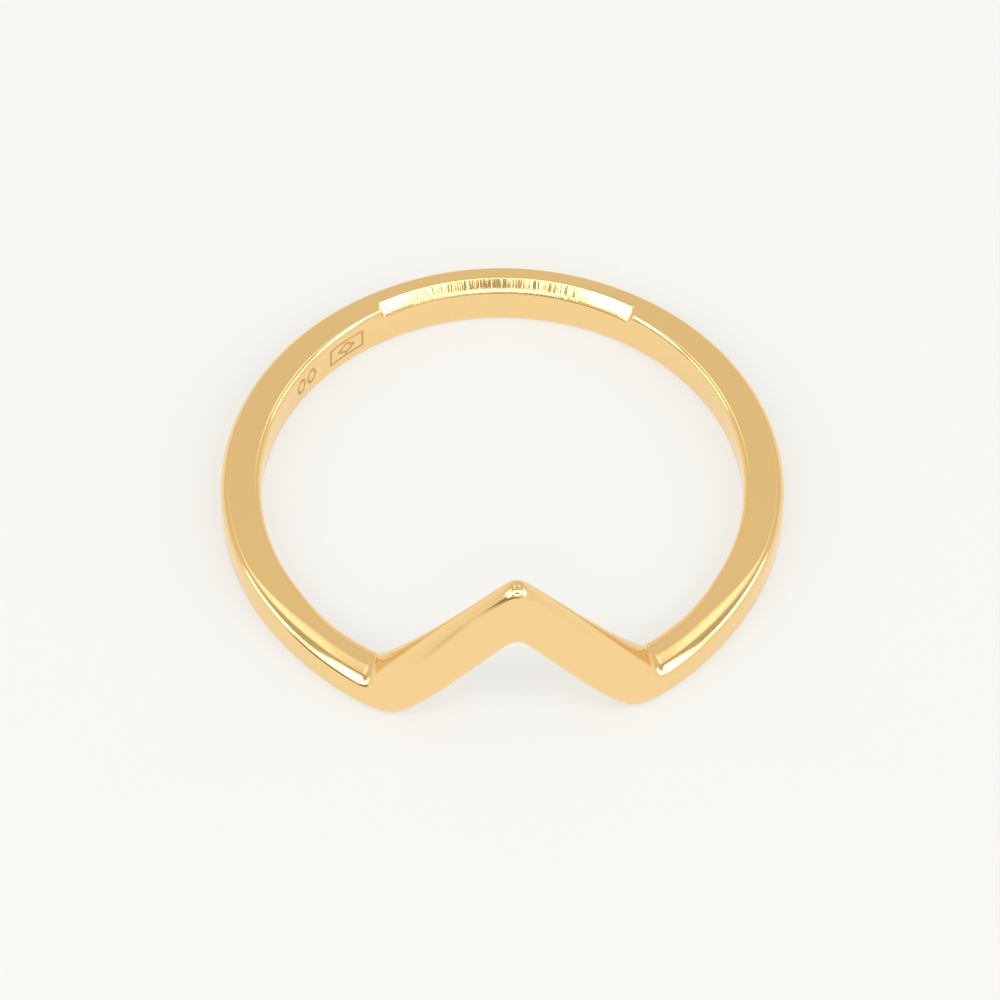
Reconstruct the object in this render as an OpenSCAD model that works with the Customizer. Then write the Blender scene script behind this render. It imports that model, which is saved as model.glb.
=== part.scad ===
// Triangle ring: a plain metal band whose front climbs in two limbs to a rounded peak.
// It lies on its side: the bore is upright, the peak is at -Y and points up.
// The origin is on the bore's axis, in the plane that the ring rests on.

/* [Band] */
// Inside diameter, the size of the finger
bore_d = 16.8; // [14:0.1:22]
// Thickness of the metal from the bore outwards
band_t = 1.4; // [1:0.1:2]
// Height of the band at the sides
band_h = 1.4; // [1.2:0.1:2]
// How much thinner the metal is at the back
back_thin = 0.36; // [0:0.02:0.5]
// How much taller the band is at the back
back_rise = 0.45; // [0:0.05:0.8]
// Rounding of the two outside edges
outer_edge_r = 0.3; // [0.1:0.05:0.4]
// Rounding of the two inside edges
inner_edge_r = 0.25; // [0.1:0.05:0.3]

/* [Filed edge at the back] */
// How far the filed inside edge reaches outwards
filed_in = 0.62; // [0.3:0.02:0.8]
// How far the filed inside edge reaches downwards
filed_down = 0.3; // [0.2:0.01:0.6]
// Where the filed edge ends on the left, in degrees from the front
filed_left = 152.5; // [130:0.5:170]
// Where the filed edge ends on the right, in degrees from the front
filed_right = 145.5; // [130:0.5:170]

/* [Peak] */
// Height of the peak's top above the resting plane
peak_top_z = 6.85; // [5.5:0.01:8]
// Height of the open triangle under the peak
peak_under_z = 4.05; // [3:0.01:5]
// How much the rounding takes off the peak's sharp top
peak_top_cut = 0.28; // [0.1:0.02:0.6]
// How much the rounding takes off the sharp underside of the peak
peak_under_cut = 0.31; // [0.1:0.01:0.6]
// How far the peak sits to the right of the middle
peak_off = 0.09; // [0:0.01:0.2]
// How much thinner the metal is at the peak
front_thin = 0.58; // [0:0.02:0.7]

/* [Limbs] */
// Slope of the limbs' top side in degrees
top_slope = 51.6; // [44:0.1:54]
// Slope of the limbs' underside in degrees
under_slope = 45.9; // [40:0.1:54]
// How far the limbs' top side bows upwards halfway
limb_bow = 0.24; // [0:0.02:0.3]
// How far the limbs' underside bows downwards halfway
under_bow = 0.24; // [0:0.02:0.3]
// How far the limbs' upper inside edge rounds outwards
ridge_in = 0.55; // [0.25:0.05:0.6]
// How far the limbs' upper inside edge rounds downwards
ridge_down = 0.16; // [0.1:0.02:0.3]
// How far the upper outside edge rounds inwards at the front
dome_in = 0.8; // [0.3:0.05:0.9]
// How far the upper outside edge rounds downwards at the front
dome_down = 0.55; // [0.3:0.05:0.7]
// Rounding of the upper inside edge near the valleys
valley_inner_r = 0.5; // [0.25:0.05:0.7]
// Radius of the crease's outer end, where a limb meets the band
valley_r = 0.65; // [0.3:0.05:0.8]
// Radius of the corner where a limb's underside meets the resting plane
corner_r = 0.8; // [0.2:0.1:1.5]
// How far the outside stands proud of the circle at the shoulders
shoulder_out = 0.25; // [0:0.05:0.4]

/* [Hidden] */

bore_r = bore_d / 2;
mid_r = bore_r + band_t / 2;

// Where the back's section begins and is complete, in degrees from the front
back_start = 75;
back_end = 165;
// Half the length of the filed edge's ends in degrees, and how much straighter than round it is
filed_fade = 0.6;
bevel_flat = 0.85;
// Where the upper outside edge begins to dome towards the front and has its full dome
dome_start = 72;
dome_end = 46;
// How far round the metal is thinner at the peak and the dome is flatter there, and by how much
thin_spread = 30;
flat_spread = 22;
peak_flatter = 0.66;
// Where the wide inside rounding at the valleys begins and is complete
valley_start = 60;
valley_end = 40;
// Where the shoulders stand proud, and how far they ease away towards the peak and the sides
shoulder_angle = 26;
shoulder_to_peak = 18;
shoulder_to_side = 34;
// Between these two angles the sections turn from radial to straight from front to back.
radial_from = 65;
straight_from = 36;
// How far the outlines of the top turn from straight front to back (0) towards the bore's axis (1)
crease_turn = 0.6;
// The crease's radius at the bore, as a share of its radius at the outside
crease_inside = 0.15;
// How the peak's two roundings ease into the slopes: 2 softly, 3 nearly like an arc
top_power = 2;
under_power = 3;

// The turned wall that gives the bore its true round stands this far inside the swept sections.
wall_step = 0.02;
wall_t = 0.42;
wall_low = 0.35;
wall_high = 0.78;
wall_from = 40;

// Steps of the roundings: bottom edges, domed outside edge, upper inside edge
bottom_steps = 3;
dome_steps = 6;
inside_steps = 5;

function square_of(v) = v * v;
function mix(a, b, share) = a + (b - a) * share;

// Goes smoothly from 0 at start to 1 at end
function ease(v, start, end) =
    let (t = min(1, max(0, (v - start) / (end - start))))
    t * t * (3 - 2 * t);

// A rounded hump: 1 in the middle, 0 from the spread on
function hump(off, spread) = (1 + cos(180 * min(1, abs(off) / spread))) / 2;

// Height of one outline of the front at the distance x from the middle: a rounded peak, a bowed
// slope and a rounded foot that runs out into the base height. The peak's rounding takes the cut off
// a sharp corner. Only the peak sits off the middle.
function outline_z(x, peak_z, cut, power, slope, base_z, foot_r, bow) =
    let (
        foot_x = (peak_z + cut - base_z) / tan(slope),
        ax = abs(x - peak_off * (1 - ease(abs(x), 0, foot_x))),
        out_x = foot_x + foot_r * tan(slope / 2),
        along = min(1, ax / foot_x),
        bowed = bow * 4 * along * (1 - along)
    )
    ax < out_x - foot_r * sin(slope)
        ? peak_z + cut - pow(pow(ax * tan(slope), power) + pow(cut, power), 1 / power) + bowed
    : ax < out_x ? base_z + foot_r - sqrt(square_of(foot_r) - square_of(out_x - ax)) + bowed
    : base_z;

// A quarter of an ellipse from the angle start on
function quarter(centre, size, start, steps) =
    [for (k = [0:steps]) let (a = start + 90 * k / steps) centre + [size.x * cos(a), size.y * sin(a)]];

// The upper inside edge from the top to the bore's wall, straightened into a bevel by a share
function inside_edge(wide, deep, straight) =
    let (round_edge = quarter([wide, band_h - deep], [wide, deep], 90, inside_steps))
    [for (k = [0:inside_steps])
        let (way = k / inside_steps)
        mix(round_edge[k], [(1 - way) * wide, band_h - way * deep], straight)];

// The band's section at an angle from the front, as points [distance from the bore, height]
function section(angle) =
    let (
        turn = abs(angle),
        dome = ease(turn, dome_start, dome_end),
        dome_wide = mix(outer_edge_r, dome_in, dome),
        dome_deep = mix(outer_edge_r, dome_down * (1 - peak_flatter * hump(turn, flat_spread)), dome),
        filed_end = angle < 0 ? filed_left : filed_right,
        filed = ease(turn, filed_end - filed_fade, filed_end + filed_fade),
        plain = mix(inner_edge_r, valley_inner_r, ease(turn, valley_start, valley_end)),
        ridge = hump(turn, thin_spread),
        wide = plain + ridge * (ridge_in - plain) + filed * (filed_in - plain),
        deep = plain + ridge * (ridge_down - plain) + filed * (filed_down - plain)
    )
    concat(
        quarter([band_t - outer_edge_r, outer_edge_r], [outer_edge_r, outer_edge_r], 270, bottom_steps),
        quarter([band_t - dome_wide, band_h - dome_deep], [dome_wide, dome_deep], 0, dome_steps),
        inside_edge(wide, deep, filed * bevel_flat),
        quarter([inner_edge_r, inner_edge_r], [inner_edge_r, inner_edge_r], 180, bottom_steps)
    );

// The thickness of the metal at an angle: proud at the shoulders, thinner at the back and the peak
function metal_t(turn) =
    band_t
    + shoulder_out * hump(turn - shoulder_angle, turn < shoulder_angle ? shoulder_to_peak : shoulder_to_side)
    - back_thin * square_of(ease(turn, back_start, back_end))
    - front_thin * hump(turn, thin_spread);

// A point of the section carried to an angle: its height stretches between the two outlines.
function carried(point, angle) =
    let (
        turn = abs(angle),
        r = bore_r + wall_step + point.x * (metal_t(turn) - wall_step) / band_t,
        straight = ease(turn, radial_from, straight_from),
        level = asin(min(1, mid_r * sin(turn) / r)),
        placed = sign(angle) * (turn + (straight > 0 ? straight * (level - turn) : 0)),
        x = r * sin(placed),
        crease_x = x * pow(bore_r / r, crease_turn),
        crease_r = valley_r * mix(crease_inside, 1, point.x / band_t),
        front = turn < 90,
        top = front
            ? outline_z(crease_x, peak_top_z, peak_top_cut, top_power, top_slope, band_h, crease_r, limb_bow)
            : band_h,
        low = front
            ? outline_z(x, peak_under_z, peak_under_cut, under_power, under_slope, 0, corner_r, -under_bow)
            : 0,
        high = top + back_rise * ease(turn, back_start, back_end)
    )
    [x, -r * cos(placed), low + (high - low) * point.y / band_h];

// Angles of the sections on one side, close together at the peak, the shoulders and the filed end
function side_angles(filed_end) = concat(
    [for (a = [0.5:0.5:4]) a],
    [for (a = [5:1.5:20]) a],
    [for (a = [21:0.75:36]) a],
    [for (a = [38:3:filed_end - 2]) a],
    [filed_end - filed_fade, filed_end, filed_end + filed_fade],
    [for (a = [filed_end + 3:3:178]) a]
);
left_angles = side_angles(filed_left);
section_angles = concat(
    [for (i = [len(left_angles) - 1:-1:0]) -left_angles[i]],
    [0],
    side_angles(filed_right),
    [180]
);

module swept_band() {
    m = len(section(0));
    n = len(section_angles);
    polyhedron(
        points = [for (a = section_angles) for (p = section(a)) carried(p, a)],
        faces = [for (i = [0:n - 1]) for (j = [0:m - 1])
            [i * m + j, i * m + (j + 1) % m, (i + 1) % n * m + (j + 1) % m, (i + 1) % n * m + j]],
        convexity = 6
    );
}

module bore_wall() {
    rotate([0, 0, wall_from - 90])
        rotate_extrude(angle = 360 - 2 * wall_from, $fn = 180)
            translate([bore_r, wall_low])
                square([wall_t, wall_high - wall_low]);
}

module chevron_band() {
    color("#E3BE7A") {
        swept_band();
        bore_wall();
    }
}

chevron_band();
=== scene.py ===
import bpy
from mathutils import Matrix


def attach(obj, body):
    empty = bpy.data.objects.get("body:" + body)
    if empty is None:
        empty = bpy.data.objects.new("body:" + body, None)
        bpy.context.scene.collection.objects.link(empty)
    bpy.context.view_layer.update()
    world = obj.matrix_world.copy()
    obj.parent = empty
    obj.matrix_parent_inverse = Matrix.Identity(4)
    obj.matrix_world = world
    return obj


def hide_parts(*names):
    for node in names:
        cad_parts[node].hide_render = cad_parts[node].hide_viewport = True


bl_info = {
    "name": "Triangle ring",
    "version": (1, 0, 0),
    "blender": (4, 5, 0),
    "location": "3D View > Sidebar > Ring",
    "description": "A polished gold band whose front climbs to a rounded peak, lying on a pale floor",
    "category": "Add Mesh",
}

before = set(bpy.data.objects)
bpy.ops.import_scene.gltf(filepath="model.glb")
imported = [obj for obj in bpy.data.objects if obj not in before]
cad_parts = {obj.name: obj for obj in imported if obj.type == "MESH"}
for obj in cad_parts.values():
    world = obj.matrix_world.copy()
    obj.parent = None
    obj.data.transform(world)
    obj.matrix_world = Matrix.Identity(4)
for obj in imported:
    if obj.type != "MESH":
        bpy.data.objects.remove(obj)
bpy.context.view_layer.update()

import math

import bmesh
import bpy
from bpy.props import FloatProperty, FloatVectorProperty, PointerProperty
from mathutils import Matrix, Quaternion, Vector

MM = 0.001


def linear(hex_colour):
    """An sRGB hex colour as linear red, green, blue."""
    parts = [int(hex_colour[i:i + 2], 16) / 255 for i in (1, 3, 5)]
    return tuple(p / 12.92 if p <= 0.04045 else ((p + 0.055) / 1.055) ** 2.4 for p in parts)


def length(name, description, millimetres):
    """A length that the panel shows in the scene's units."""
    return FloatProperty(
        name=name, description=description, default=millimetres * MM,
        min=0.0, precision=5, subtype="DISTANCE", unit="LENGTH",
    )


def slope(name, description, degrees):
    """An angle that the panel shows in degrees."""
    return FloatProperty(
        name=name, description=description, default=math.radians(degrees),
        subtype="ANGLE", unit="ROTATION",
    )


def colour(name, description, hex_colour):
    """A colour given as sRGB hex."""
    return FloatVectorProperty(
        name=name, description=description, default=linear(hex_colour),
        size=3, min=0.0, max=1.0, subtype="COLOR",
    )


class BandShape(bpy.types.PropertyGroup):
    """Sizes of the ring, the same as in the solid part. Places round it are angles from the front."""

    bore_d: length("Bore", "Inside diameter, the size of the finger", 16.8)
    band_t: length("Thickness", "Thickness of the metal from the bore outwards", 1.4)
    band_h: length("Height", "Height of the band at the sides", 1.4)
    back_thin: length("Thinner back", "How much thinner the metal is at the back", 0.36)
    back_rise: length("Taller back", "How much taller the band is at the back", 0.45)
    back_start: slope("Back starts", "Where the band begins to change towards the back", 75)
    back_end: slope("Back ends", "Where the band has its full size of the back", 165)
    outer_edge_r: length("Outer edges", "Rounding of the two outside edges", 0.3)
    inner_edge_r: length("Inner edges", "Rounding of the two inside edges", 0.25)
    filed_in: length("Filed outwards", "How far the back's filed inside edge reaches outwards", 0.62)
    filed_down: length("Filed downwards", "How far the back's filed inside edge reaches downwards", 0.3)
    filed_left: slope("Filed left end", "Where the filed edge ends on the left", 152.5)
    filed_right: slope("Filed right end", "Where the filed edge ends on the right", 145.5)
    valley_inner_r: length("Valley edge", "Rounding of the upper inside edge near the valleys", 0.5)
    dome_in: length("Dome inwards", "How far the front's upper outside edge rounds inwards", 0.8)
    dome_down: length("Dome downwards", "How far the front's upper outside edge rounds downwards", 0.55)
    dome_start: slope("Dome starts", "Where the top begins to dome towards the front", 72)
    dome_end: slope("Dome ends", "Where the top has its full dome", 46)
    peak_top_z: length("Peak top", "Height of the peak's top above the resting plane", 6.85)
    peak_under_z: length("Peak underside", "Height of the open triangle under the peak", 4.05)
    peak_top_cut: length("Peak top rounding", "How much the rounding takes off the sharp top", 0.28)
    peak_under_cut: length("Underside rounding", "How much it takes off the sharp underside", 0.31)
    front_thin: length("Thinner peak", "How much thinner the metal is at the peak", 0.58)
    ridge_in: length("Ridge inwards", "How far the limbs' upper inside edge rounds outwards", 0.55)
    ridge_down: length("Ridge downwards", "How far the limbs' upper inside edge rounds downwards", 0.16)
    peak_off: length("Peak aside", "How far the peak sits to the right of the middle", 0.09)
    top_slope: slope("Top slope", "Slope of the limbs' top side", 51.6)
    under_slope: slope("Underside slope", "Slope of the limbs' underside", 45.9)
    limb_bow: length("Limbs bow", "How far the limbs' top side bows upwards halfway", 0.24)
    under_bow: length("Underside bows", "How far the limbs' underside bows downwards halfway", 0.24)
    valley_r: length("Valley", "Radius of the crease's outer end, where a limb meets the band", 0.65)
    corner_r: length("Corner", "Radius of the corner where a limb meets the floor", 0.8)
    shoulder_out: length("Shoulders", "How far the outside stands proud at the shoulders", 0.25)
    shoulder_angle: slope("Shoulder place", "Where the shoulders stand proud", 26)
    shoulder_to_peak: slope("Shoulder to peak", "How far the shoulders ease away towards the peak", 18)
    shoulder_to_side: slope("Shoulder to side", "How far the shoulders ease away towards the sides", 34)
    mark_depth: length("Mark depth", "How deep the two small marks inside are struck", 0.03)


class GoldFinish(bpy.types.PropertyGroup):
    """Colour and polish of the gold."""

    metal: colour("Gold", "Colour of the metal", "#FBD99A")
    # The darker colour that the struck lines of the marks are given.
    struck_line_colour: colour("Struck line", "Colour of the metal in the struck lines of the marks", "#CFA96C")
    roughness: FloatProperty(
        name="Polish", description="Roughness of the polished metal", default=0.13,
        min=0.0, max=1.0, subtype="FACTOR",
    )
    # The roughness that the struck lines of the marks are given.
    struck_line_roughness: FloatProperty(
        name="Tarnish roughness", description="Roughness in the struck lines of the marks", default=0.4,
        min=0.0, max=1.0, subtype="FACTOR",
    )


class StudioSettings(bpy.types.PropertyGroup):
    """Floor and camera."""

    floor: colour("Floor", "Colour of the floor", "#8B8B8A")
    floor_glow: FloatProperty(
        name="Floor glow", description="How bright the floor is lit from below", default=2.31, min=0.0,
    )
    azimuth: slope("Camera azimuth", "How far the camera stands round to the ring's left", 2.8)
    elevation: slope("Camera elevation", "How high the camera looks down from", 51.65)
    distance: length("Camera distance", "From the camera to the middle of the bore", 450)
    focal: FloatProperty(
        name="Focal length", description="Focal length of the camera", default=464.6,
        min=1.0, subtype="DISTANCE_CAMERA",
    )


# Steps of the band round each stretch of the turn, from the back by the left side and the front to the
# back again, as (degrees, steps). The marks, shoulders and peak have close steps.
STRETCHES = (
    (24, 48), (38, 170), (44, 44), (38, 76), (12, 80), (20, 40), (8, 64), (20, 40), (12, 80), (38, 76),
    (68, 68), (38, 76),
)
# Steps of the section's outside and inside roundings, and cuts of its flats. The bore's flat has more
# cuts, for the struck marks. Edges longer than FLAT_FROM, in mm, are the flats.
OUTER_STEPS = 16
INNER_STEPS = 12
FLAT_CUTS = 6
BORE_CUTS = 24
FLAT_FROM = 0.5
# Places nearer than this in mm count as one.
TINY = 1e-4
# Each end of the filed bevel fades over twice this angle, and the bevel is this much straight, not round.
FILED_FADE = math.radians(0.6)
BEVEL_FLAT = 0.85
# How far round the metal is thinner at the peak and the dome is flatter there, and by how much
THIN_SPREAD = math.radians(30)
FLAT_SPREAD = math.radians(22)
PEAK_FLATTER = 0.66
# Where the wide inside rounding at the valleys begins and is complete
VALLEY_START = math.radians(60)
VALLEY_END = math.radians(40)
# Between these two angles the sections turn from radial to straight from front to back.
RADIAL_FROM = math.radians(65)
STRAIGHT_FROM = math.radians(36)
# How far the outlines of the top turn from straight front to back (0) towards the bore's axis (1)
CREASE_TURN = 0.6
# The crease's radius at the bore, as a share of its radius at the outside
CREASE_INSIDE = 0.15
# How the peak's two roundings ease into the slopes: 2 softly, 3 nearly like an arc
TOP_POWER = 2
UNDER_POWER = 3

# Places of the two marks along the bore from the back, their height, and half their widths and heights,
# in mm
FRAME_ARC = 5.6
OVAL_ARCS = (7.35, 7.95)
MARK_Z = 0.95
FRAME_HALF = (0.72, 0.38)
LOZENGE_HALF = (0.34, 0.24)
OVAL_HALF = (0.2, 0.3)
# Roughly the mm from the middle of a lozenge or an oval to its line
LOZENGE_MM = 0.19
OVAL_MM = 0.22
# A struck line is full depth this near its middle and ends this far from it, in mm.
LINE_FULL = 0.025
LINE_END = 0.06

# File strokes: their spacing and depth, and the radius at which they are this far apart, in mm
STROKE_SPACING = 0.19
STROKE_DEPTH = 0.03
STROKE_R = 8.74
# They are strong in the middle of the back, from the second angle on, and this weak before the first.
STROKES_WEAKEST = 0.2
STROKES_WEAK_TO = math.radians(156)
STROKES_STRONG_FROM = math.radians(169)
# The thinner back narrows the bevel to this share, and the strokes run out this far past it, in mm.
BEVEL_SHARE = 0.74
STROKES_OUT = 0.06
STROKES_DOWN = 0.1
# Width and depth of the ripples that buffing leaves, in mm
RIPPLE = 0.08
RIPPLE_DEPTH = 0.0006

# Settings that nodes share, and the places of a Mix node's two colours and of its result
SMOOTH = {"interpolation_type": "SMOOTHSTEP"}
COLOURS = {"data_type": "RGBA"}
MIX_A, MIX_B, MIX_RESULT = 6, 7, 2

# Colours of the room's front and back from the floor's level upwards, as (sine of the elevation, colour)
FRONT_STOPS = (
    (0.0, "#F8F5EE"), (0.3, "#E8E4DC"), (0.52, "#DCD8D0"), (0.6, "#A8A298"), (0.9, "#ACA79C"),
    (0.96, "#D3CEC3"),
)
BACK_STOPS = (
    (0.0, "#F8F5EE"), (0.12, "#F2EEE6"), (0.4, "#DDD6C9"), (0.76, "#E4DDD0"), (1.0, "#D8D3C8"),
)
# Where along Y the front turns into the back
FRONT_TO_BACK = (-0.15, 0.45)
# A dark gap low down at the left of the front and a dark stand further left: their azimuth and elevation,
# the cosine of the angle from there at which each begins and is complete, and the same for the sine of
# the elevation
GAP_AT = (math.radians(-22), 0)
GAP_WIDTH = (0.7, 0.92)
GAP_HEIGHT = (0.5, 0.1)
STAND_AT = (math.radians(-68), math.radians(12))
STAND_WIDTH = (0.97, 0.992)
STAND_HEIGHT = (0.05, 0.13)
DARK = "#86745C"

# All lamps have this colour and stand this far from the bore's middle, in metres.
LAMP_COLOUR = "#FFFEFC"
LAMP_DISTANCE = 0.8
# Lamps on each side, as (name, azimuth, elevation, (width, height), brightness), in degrees and metres.
# The first three make the white reflections along the domes, up to the creases. The two high ones make
# the soft yellow line on the domes' tops, where the small one inside the large one softens its edge.
SIDE_LAMPS = (
    ("side_softbox", 92, 27, (0.32, 0.2), 2.4),
    ("patch_softbox", 66, 38, (0.26, 0.56), 2.6),
    ("key_lamp", 50, 50, (0.34, 0.38), 2.8),
    ("high_softbox", 130, 62, (0.44, 0.28), 0.3),
    ("high_lamp", 126, 61, (0.3, 0.13), 0.45),
)
# Lamps in the middle, for the highlight on the peak and the light on the filed bevel
MIDDLE_LAMPS = (
    ("front_softbox", 0, 37, (0.6, 0.17), 3.0),
    ("top_softbox", 0, 70, (0.4, 0.22), 1.6),
)
# Half the floor's width in metres
FLOOR_HALF = 1.5
# How far from the bore's middle the camera aims, in metres along its own axes, and its roll
CAMERA_AIM = (-0.00008, 0.000258, 0)
CAMERA_ROLL = 0.007


def ease(value, start, end):
    """Goes smoothly from 0 at start to 1 at end."""
    t = min(1.0, max(0.0, (value - start) / (end - start)))
    return t * t * (3 - 2 * t)


def hump(off, spread):
    """A rounded hump: 1 in the middle, 0 from the spread on."""
    return (1 + math.cos(math.pi * min(1.0, abs(off) / spread))) / 2


def direction(azimuth, elevation):
    """The way from the bore's middle to an azimuth, to the right of the front, and an elevation."""
    flat = math.cos(elevation)
    return Vector((math.sin(azimuth) * flat, -math.cos(azimuth) * flat, math.sin(elevation)))


def outline(x, off, peak_z, cut, power, rise, base_z, foot_r, bow):
    """Height of one outline of the front at x from the middle: rounded peak, bowed slope, rounded foot.

    The peak's rounding takes the cut off a sharp corner, and the lower its power, the later it eases into
    the slopes. Only the peak sits off the middle.
    """
    foot_x = (peak_z + cut - base_z) / math.tan(rise)
    x = abs(x - off * (1 - ease(abs(x), 0, foot_x)))
    out_x = foot_x + foot_r * math.tan(rise / 2)
    along = min(1, x / foot_x)
    bowed = bow * 4 * along * (1 - along)
    if x < out_x - foot_r * math.sin(rise):
        return peak_z + cut - ((x * math.tan(rise)) ** power + cut ** power) ** (1 / power) + bowed
    if x < out_x:
        return base_z + foot_r - math.sqrt(foot_r ** 2 - (out_x - x) ** 2) + bowed
    return base_z


def section(bm, s):
    """The band's rounded section at the back of the ring, as a closed wire. Returns its parts."""
    bore_r, outer_r, high = s.bore_d / 2 / MM, (s.bore_d / 2 + s.band_t) / MM, s.band_h / MM
    places = ((bore_r, 0), (outer_r, 0), (outer_r, high), (bore_r, high))
    corners = [bm.verts.new((0, y, z)) for y, z in places]
    bm.faces.new(corners)
    outside, inside = corners[1:3], [corners[0], corners[3]]
    for pair, rounding, steps in (
        (outside, s.outer_edge_r, OUTER_STEPS), (inside, s.inner_edge_r, INNER_STEPS),
    ):
        bmesh.ops.bevel(
            bm, geom=pair, offset=rounding / MM, offset_type="OFFSET", affect="VERTICES",
            segments=steps, profile=0.5, material=-1,
        )
    flats = [e for e in bm.edges if e.calc_length() > FLAT_FROM]
    bore = [e for e in flats if all(abs(v.co.y - bore_r) < TINY for v in e.verts)]
    bmesh.ops.subdivide_edges(bm, edges=bore, cuts=BORE_CUTS)
    bmesh.ops.subdivide_edges(bm, edges=[e for e in flats if e not in bore], cuts=FLAT_CUTS)
    bmesh.ops.delete(bm, geom=bm.faces[:], context="FACES_ONLY")
    return bm.verts[:] + bm.edges[:]


def turned_band(s):
    """The section turned once round the bore, stretch by stretch, and the stretches welded."""
    bm = bmesh.new()
    start = 0
    for degrees, steps in STRETCHES:
        part = bmesh.new()
        wire = section(part, s)
        turned = Matrix.Rotation(math.radians(start), 3, "Z")
        bmesh.ops.rotate(part, verts=part.verts[:], cent=(0, 0, 0), matrix=turned)
        bmesh.ops.spin(
            part, geom=wire, cent=(0, 0, 0), axis=(0, 0, 1), dvec=(0, 0, 0),
            angle=math.radians(degrees), steps=steps, use_merge=False, use_duplicate=False,
        )
        stretch = bpy.data.meshes.new("stretch")
        part.to_mesh(stretch)
        part.free()
        bm.from_mesh(stretch)
        bpy.data.meshes.remove(stretch)
        start += degrees
    bmesh.ops.remove_doubles(bm, verts=bm.verts[:], dist=TINY)
    return bm


def corner(value, plain, wide, flat_from, flat_to, end):
    """Carries a place on the section from a plain rounding to a wide one that ends at the same face."""
    if abs(value - end) <= plain + TINY:
        return end + (value - end) * wide / plain
    edge = end + math.copysign(plain, flat_from - end)
    new_edge = end + math.copysign(wide, flat_from - end)
    return flat_to + (value - flat_from) * (new_edge - flat_to) / (edge - flat_from)


def filed_share(angle, s):
    """How much of the filed bevel there is at an angle: 1 between its ends, 0 past them."""
    end = s.filed_left if angle < 0 else s.filed_right
    return ease(abs(angle), end - FILED_FADE, end + FILED_FADE)


def upper_edges(t, z, angle, s):
    """Carries a place on the plain section, t out from the bore and z up, to the section at an angle.

    The upper outside edge domes at the front. The upper inside edge rounds more at the peak and near the
    valleys, and is filed to a wide bevel at the back.
    """
    turn, thick, high = abs(angle), s.band_t / MM, s.band_h / MM
    outer_r, inner_r = s.outer_edge_r / MM, s.inner_edge_r / MM
    dome = ease(turn, s.dome_start, s.dome_end)
    dome_wide = outer_r + dome * (s.dome_in / MM - outer_r)
    dome_deep = s.dome_down / MM * (1 - PEAK_FLATTER * hump(turn, FLAT_SPREAD))
    near_outside = z > high - outer_r - TINY or t > thick - outer_r - TINY
    if near_outside and z > outer_r + TINY and t > inner_r + TINY:
        t = corner(t, outer_r, dome_wide, inner_r, inner_r, thick)
        z = corner(z, outer_r, outer_r + dome * (dome_deep - outer_r), outer_r, outer_r, high)
    near_inside = z > high - inner_r - TINY or t < inner_r + TINY
    if near_inside and z > inner_r + TINY and t < thick - dome_wide - TINY:
        ridge, filed = hump(turn, THIN_SPREAD), filed_share(angle, s)
        plain = inner_r + ease(turn, VALLEY_START, VALLEY_END) * (s.valley_inner_r / MM - inner_r)
        wide = plain + ridge * (s.ridge_in / MM - plain) + filed * (s.filed_in / MM - plain)
        deep = plain + ridge * (s.ridge_down / MM - plain) + filed * (s.filed_down / MM - plain)
        inwards, downwards = t / inner_r, (high - z) / inner_r
        t = corner(t, inner_r, wide, thick - dome_wide, thick - dome_wide, 0)
        z = corner(z, inner_r, deep, inner_r, inner_r, high)
        if filed > 0 and inwards < 1 and downwards < 1:
            way = math.atan2(1 - inwards, 1 - downwards) / (math.pi / 2)
            t += filed * BEVEL_FLAT * ((1 - way) * wide - t)
            z += filed * BEVEL_FLAT * (high - way * deep - z)
    return t, z


def metal_share(turn, back, s):
    """The metal's thickness as a share of the band's: more at the shoulders, less at back and peak."""
    spread = s.shoulder_to_peak if turn < s.shoulder_angle else s.shoulder_to_side
    proud = s.shoulder_out * hump(turn - s.shoulder_angle, spread)
    slim = s.back_thin * back ** 2 + s.front_thin * hump(turn, THIN_SPREAD)
    return 1 + (proud - slim) / s.band_t


def front_outlines(x, t, r, s):
    """Heights of the front's top and underside at x, t out from the bore's wall and r from its axis."""
    bore_r, thick, off = s.bore_d / 2 / MM, s.band_t / MM, s.peak_off / MM
    crease_x = x * (bore_r / r) ** CREASE_TURN
    crease_r = s.valley_r / MM * (CREASE_INSIDE + (1 - CREASE_INSIDE) * t / thick)
    top = outline(
        crease_x, off, s.peak_top_z / MM, s.peak_top_cut / MM, TOP_POWER, s.top_slope,
        s.band_h / MM, crease_r, s.limb_bow / MM,
    )
    bottom = outline(
        x, off, s.peak_under_z / MM, s.peak_under_cut / MM, UNDER_POWER, s.under_slope,
        0, s.corner_r / MM, -s.under_bow / MM,
    )
    return top, bottom


def mark(arc, z):
    """How deep the marks are at a place of the bore, 0 to 1: a frame round a lozenge, then two ovals."""
    side, up = abs(arc - FRAME_ARC), abs(z - MARK_Z)
    lines = [
        max(side - FRAME_HALF[0], up - FRAME_HALF[1]),
        (side / LOZENGE_HALF[0] + up / LOZENGE_HALF[1] - 1) * LOZENGE_MM,
    ]
    for oval_arc in OVAL_ARCS:
        lines.append((math.hypot((arc - oval_arc) / OVAL_HALF[0], up / OVAL_HALF[1]) - 1) * OVAL_MM)
    return ease(min(abs(line) for line in lines), LINE_END, LINE_FULL)


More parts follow.
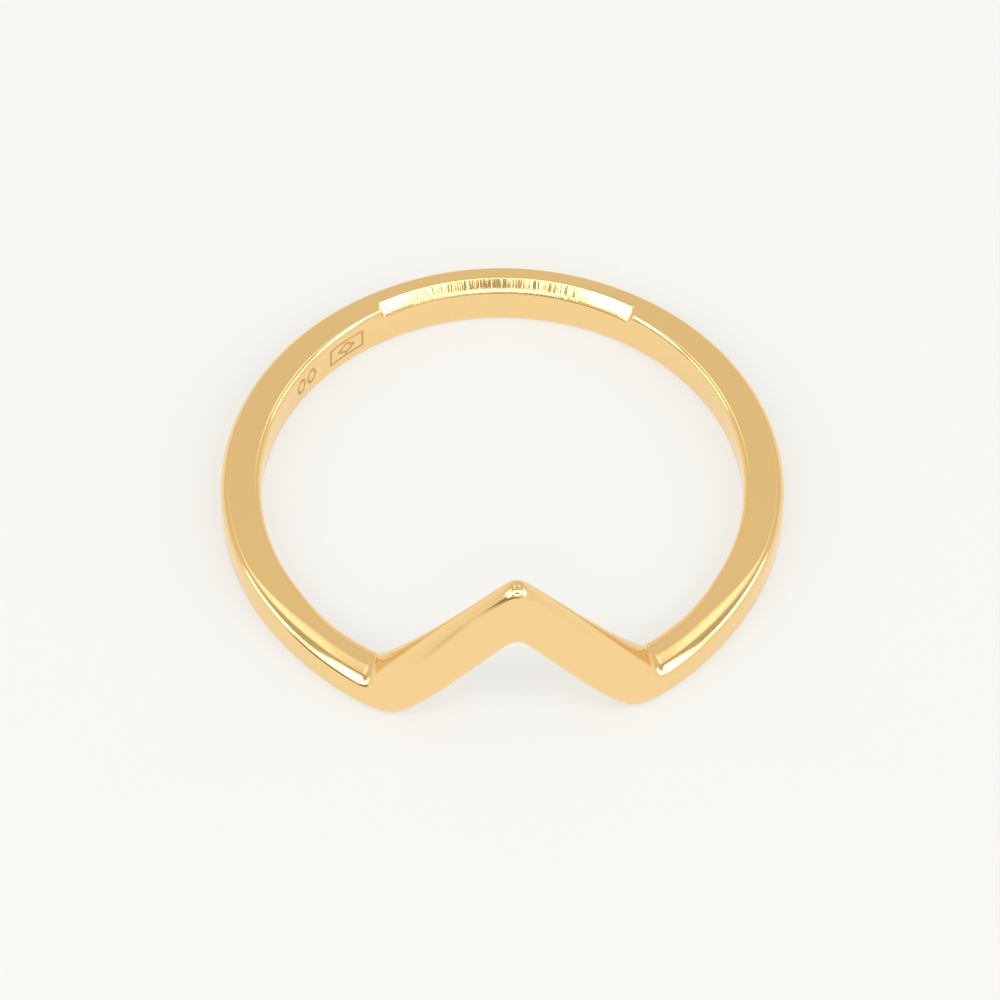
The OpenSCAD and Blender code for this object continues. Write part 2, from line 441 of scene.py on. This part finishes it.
def shape_band(bm, s):
    """Gives the turned band its changing section and carries its front up into the limbs and the peak."""
    bore_r, high = s.bore_d / 2 / MM, s.band_h / MM
    middle_r = bore_r + s.band_t / 2 / MM
    struck = bm.verts.layers.float.new("struck")
    for v in bm.verts:
        angle = math.atan2(v.co.x, -v.co.y)
        turn = abs(angle)
        back = ease(turn, s.back_start, s.back_end)
        plain_t = math.hypot(v.co.x, v.co.y) - bore_r
        t, z = upper_edges(plain_t, v.co.z, angle, s)
        r = bore_r + t * metal_share(turn, back, s)
        # At the front the band is cut by the outlines straight from front to back.
        straight = ease(turn, RADIAL_FROM, STRAIGHT_FROM)
        if straight > 0:
            turn += straight * (math.asin(min(1, middle_r * math.sin(turn) / r)) - turn)
        x = r * math.sin(math.copysign(turn, angle))
        top, bottom = front_outlines(x, t, r, s) if turn < math.pi / 2 else (high, 0)
        z = bottom + (top + s.back_rise / MM * back - bottom) * z / high
        if plain_t < TINY and turn > math.pi / 2 and angle < 0:
            v[struck] = mark((math.pi - turn) * bore_r, z)
            struck_r = r + s.mark_depth / MM * v[struck]
            x, r = x * struck_r / r, struck_r
        v.co = (x, -r * math.cos(turn), z)


def node(tree, kind, settings=(), inputs=(), links=()):
    """Adds a node with its settings, the values of its inputs and the links that feed it."""
    made = tree.nodes.new(kind)
    for name, value in dict(settings).items():
        setattr(made, name, value)
    for name, value in dict(inputs).items():
        made.inputs[name].default_value = value
    for name, socket in dict(links).items():
        tree.links.new(socket, made.inputs[name])
    return made


def polished_gold(gold):
    """Yellow gold alloy, buffed to a near mirror: clear reflections, slightly softened by wear."""
    material = bpy.data.materials.new("polished_gold")
    material.use_nodes = True
    tree = material.node_tree
    tree.nodes.clear()
    place = node(tree, "ShaderNodeTexCoord").outputs["Object"]
    # File strokes across the bevel, about 0.19 mm apart, break its reflections into bright lines.
    parts = node(tree, "ShaderNodeSeparateXYZ", links={0: place})
    angle = node(
        tree, "ShaderNodeMath", {"operation": "ARCTAN2"},
        links={0: parts.outputs["X"], 1: parts.outputs["Y"]},
    )
    strokes = node(
        tree, "ShaderNodeTexNoise", {"noise_dimensions": "1D"},
        {"Scale": STROKE_R / STROKE_SPACING, "Detail": 3, "Roughness": 0.65}, {"W": angle.outputs[0]},
    )
    filed = node(tree, "ShaderNodeAttribute", {"attribute_name": "filed"})
    cut = node(
        tree, "ShaderNodeMath", {"operation": "MULTIPLY"},
        links={0: strokes.outputs["Fac"], 1: filed.outputs["Fac"]},
    )
    filing = node(
        tree, "ShaderNodeBump", inputs={"Strength": 1, "Distance": STROKE_DEPTH * MM},
        links={"Height": cut.outputs[0]},
    )
    # A buffed skin of tiny ripples about 0.08 mm across takes the glassy look off the flat sides.
    grain = node(
        tree, "ShaderNodeTexNoise", inputs={"Scale": 1 / (RIPPLE * MM), "Detail": 2},
        links={"Vector": place},
    )
    skin = node(
        tree, "ShaderNodeBump", inputs={"Strength": 1, "Distance": RIPPLE_DEPTH * MM},
        links={"Height": grain.outputs["Fac"], "Normal": filing.outputs["Normal"]},
    )
    # The struck lines of the marks get a darker, duller colour than the polished metal.
    struck = node(tree, "ShaderNodeAttribute", {"attribute_name": "struck"}).outputs["Fac"]
    metal = node(
        tree, "ShaderNodeMix", COLOURS, {MIX_A: (*gold.metal, 1), MIX_B: (*gold.struck_line_colour, 1)},
        {"Factor": struck},
    )
    rough = node(
        tree, "ShaderNodeMapRange", inputs={"To Min": gold.roughness, "To Max": gold.struck_line_roughness},
        links={"Value": struck},
    )
    shader = node(
        tree, "ShaderNodeBsdfPrincipled", inputs={"Metallic": 1},
        links={
            "Base Color": metal.outputs[MIX_RESULT], "Roughness": rough.outputs[0],
            "Normal": skin.outputs["Normal"],
        },
    )
    node(tree, "ShaderNodeOutputMaterial", links={"Surface": shader.outputs["BSDF"]})
    return material


def filed_attribute(mesh, s):
    """Stores on each vertex how strong the file strokes are there, 0 to 1, for the metal."""
    layer = mesh.attributes.new("filed", "FLOAT", "POINT")
    bevel_out = (s.bore_d / 2 + s.filed_in * BEVEL_SHARE) / MM
    bevel_low = (s.band_h + s.back_rise - s.filed_down) / MM
    for vertex, stored in zip(mesh.vertices, layer.data):
        x, y, z = vertex.co / MM
        angle = math.atan2(x, -y)
        strong = ease(abs(angle), STROKES_WEAK_TO, STROKES_STRONG_FROM)
        along = filed_share(angle, s) * (STROKES_WEAKEST + (1 - STROKES_WEAKEST) * strong)
        across = ease(z, bevel_low - STROKES_DOWN, bevel_low)
        across *= ease(math.hypot(x, y), bevel_out + STROKES_OUT, bevel_out)
        stored.value = along * across


class RING_OT_gold_band(bpy.types.Operator):
    """Turns the gold band and raises its front to the peak"""

    bl_idname = "ring.gold_band"
    bl_label = "Gold band"

    def execute(self, context):
        shape = context.scene.ring_shape
        bm = turned_band(shape)
        shape_band(bm, shape)
        bmesh.ops.recalc_face_normals(bm, faces=bm.faces[:])
        bmesh.ops.scale(bm, vec=(MM, MM, MM), verts=bm.verts[:])
        for face in bm.faces:
            face.smooth = True
        mesh = bpy.data.meshes.new("gold_band")
        bm.to_mesh(mesh)
        bm.free()
        band = bpy.data.objects.new("gold_band", mesh)
        context.scene.collection.objects.link(band)
        filed_attribute(mesh, shape)
        mesh.materials.append(polished_gold(context.scene.ring_gold))
        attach(band, "root")
        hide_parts("chevron_band")
        return {"FINISHED"}


def softbox(name, azimuth, elevation, size, brightness):
    """A rectangular area light that faces the ring."""
    lamp = bpy.data.lights.new(name, "AREA")
    lamp.shape = "RECTANGLE"
    lamp.size, lamp.size_y = size
    # An area light's power is its face's brightness times pi and its area.
    lamp.energy = brightness * math.pi * size[0] * size[1]
    lamp.color = linear(LAMP_COLOUR)
    box = bpy.data.objects.new(name, lamp)
    box.location = LAMP_DISTANCE * direction(math.radians(azimuth), math.radians(elevation))
    box.rotation_mode = "QUATERNION"
    box.rotation_quaternion = (-box.location).to_track_quat("-Z", "Y")
    bpy.context.scene.collection.objects.link(box)


def wall(tree, height, stops):
    """One side of the room: its colour at each height, the sine of the elevation, between the stops."""
    scaled = node(
        tree, "ShaderNodeMapRange", inputs={"From Min": -1, "From Max": 1}, links={"Value": height}
    )
    ramp = node(tree, "ShaderNodeValToRGB", links={"Fac": scaled.outputs[0]})
    elements = ramp.color_ramp.elements
    while len(elements) < len(stops):
        elements.new(0.5)
    for element, (sine, hex_colour) in zip(elements, stops):
        element.position = (sine + 1) / 2
        element.color = (*linear(hex_colour), 1)
    return ramp.outputs["Color"]


def dark_thing(tree, place, height, middle, width, rise):
    """How dark the room is in a direction, 0 to 1, round a thing with a middle, a width and a rise."""
    towards = node(
        tree, "ShaderNodeVectorMath", {"operation": "DOT_PRODUCT"}, {1: direction(*middle)}, {0: place}
    )
    near = node(
        tree, "ShaderNodeMapRange", SMOOTH, {"From Min": width[0], "From Max": width[1]},
        {"Value": towards.outputs["Value"]},
    )
    level = node(
        tree, "ShaderNodeMapRange", SMOOTH, {"From Min": rise[0], "From Max": rise[1]}, {"Value": height}
    )
    both = node(
        tree, "ShaderNodeMath", {"operation": "MULTIPLY"}, links={0: near.outputs[0], 1: level.outputs[0]}
    )
    return both.outputs[0]


def room(scene):
    """The studio round the ring: pale walls in front and behind, a dark gap in the front one, a stand."""
    world = bpy.data.worlds.new("studio_room")
    scene.world = world
    world.use_nodes = True
    tree = world.node_tree
    tree.nodes.clear()
    place = node(tree, "ShaderNodeTexCoord").outputs["Generated"]
    parts = node(tree, "ShaderNodeSeparateXYZ", links={0: place})
    height = parts.outputs["Z"]
    behind = node(
        tree, "ShaderNodeMapRange", SMOOTH, {"From Min": FRONT_TO_BACK[0], "From Max": FRONT_TO_BACK[1]},
        {"Value": parts.outputs["Y"]},
    )
    front, back = wall(tree, height, FRONT_STOPS), wall(tree, height, BACK_STOPS)
    walls = node(
        tree, "ShaderNodeMix", COLOURS, links={"Factor": behind.outputs[0], MIX_A: front, MIX_B: back}
    )
    # The metal mirrors the gap and the stand as the soft brown streak on the left limb.
    gap = dark_thing(tree, place, height, GAP_AT, GAP_WIDTH, GAP_HEIGHT)
    stand = dark_thing(tree, place, height, STAND_AT, STAND_WIDTH, STAND_HEIGHT)
    dark = node(tree, "ShaderNodeMath", {"operation": "MAXIMUM"}, links={0: gap, 1: stand})
    seen = node(
        tree, "ShaderNodeMix", COLOURS, {MIX_B: (*linear(DARK), 1)},
        {"Factor": dark.outputs[0], MIX_A: walls.outputs[MIX_RESULT]},
    )
    light = node(
        tree, "ShaderNodeBackground", inputs={"Strength": 1.0}, links={"Color": seen.outputs[MIX_RESULT]}
    )
    node(tree, "ShaderNodeOutputWorld", links={"Surface": light.outputs["Background"]})


def pale_floor(studio):
    """Matt white board under the ring, partly lit from below so that the shadows stay faint."""
    material = bpy.data.materials.new("matt_white_board")
    material.use_nodes = True
    tree = material.node_tree
    tree.nodes.clear()
    board = node(tree, "ShaderNodeBsdfDiffuse", inputs={"Color": (*studio.floor, 1)})
    glow = node(
        tree, "ShaderNodeEmission", inputs={"Color": (*studio.floor, 1), "Strength": studio.floor_glow}
    )
    both = node(
        tree, "ShaderNodeAddShader", links={0: board.outputs["BSDF"], 1: glow.outputs["Emission"]}
    )
    node(tree, "ShaderNodeOutputMaterial", links={"Surface": both.outputs["Shader"]})
    bm = bmesh.new()
    bmesh.ops.create_grid(bm, x_segments=1, y_segments=1, size=FLOOR_HALF)
    mesh = bpy.data.meshes.new("floor")
    bm.to_mesh(mesh)
    bm.free()
    mesh.materials.append(material)
    floor = bpy.data.objects.new("floor", mesh)
    bpy.context.scene.collection.objects.link(floor)


def camera(scene, studio):
    """The camera at the photograph's angle, with a slight roll."""
    lens = bpy.data.cameras.new("camera")
    lens.sensor_width = 36
    lens.lens = studio.focal
    lens.clip_start, lens.clip_end = 0.01, 10
    seen_from = bpy.data.objects.new("camera", lens)
    scene.collection.objects.link(seen_from)
    back = direction(-studio.azimuth, studio.elevation)
    turn = (-back).to_track_quat("-Z", "Y")
    seen_from.location = turn @ Vector(CAMERA_AIM) + back * studio.distance
    seen_from.rotation_mode = "QUATERNION"
    seen_from.rotation_quaternion = turn @ Quaternion((0, 0, 1), CAMERA_ROLL)
    scene.camera = seen_from


class RING_OT_studio(bpy.types.Operator):
    """Sets up the pale floor, the room, the soft lights and the camera"""

    bl_idname = "ring.studio"
    bl_label = "Studio"

    def execute(self, context):
        scene = context.scene
        scene.view_settings.view_transform = "Standard"
        pale_floor(scene.ring_studio)
        room(scene)
        for side in (-1, 1):
            for name, azimuth, elevation, size, brightness in SIDE_LAMPS:
                softbox(name, side * azimuth, elevation, size, brightness)
        for lamp in MIDDLE_LAMPS:
            softbox(*lamp)
        camera(scene, scene.ring_studio)
        return {"FINISHED"}


class RING_PT_panel(bpy.types.Panel):
    """Lists the ring's pieces and its sizes"""

    bl_idname = "RING_PT_panel"
    bl_label = "Triangle ring"
    bl_space_type = "VIEW_3D"
    bl_region_type = "UI"
    bl_category = "Ring"

    def draw(self, context):
        column = self.layout.column()
        for operator in (RING_OT_gold_band, RING_OT_studio):
            column.operator(operator.bl_idname)
        for group in (context.scene.ring_shape, context.scene.ring_gold, context.scene.ring_studio):
            for name in group.bl_rna.properties.keys():
                if name not in ("rna_type", "name"):
                    column.prop(group, name)


CLASSES = (BandShape, GoldFinish, StudioSettings, RING_OT_gold_band, RING_OT_studio, RING_PT_panel)
GROUPS = {"ring_shape": BandShape, "ring_gold": GoldFinish, "ring_studio": StudioSettings}


def register():
    for cls in CLASSES:
        bpy.utils.register_class(cls)
    for name, group in GROUPS.items():
        setattr(bpy.types.Scene, name, PointerProperty(type=group))


def unregister():
    for name in GROUPS:
        delattr(bpy.types.Scene, name)
    for cls in reversed(CLASSES):
        bpy.utils.unregister_class(cls)


def main():
    register()
    bpy.ops.ring.gold_band()
    bpy.ops.ring.studio()


if __name__ == "__main__":
    main()
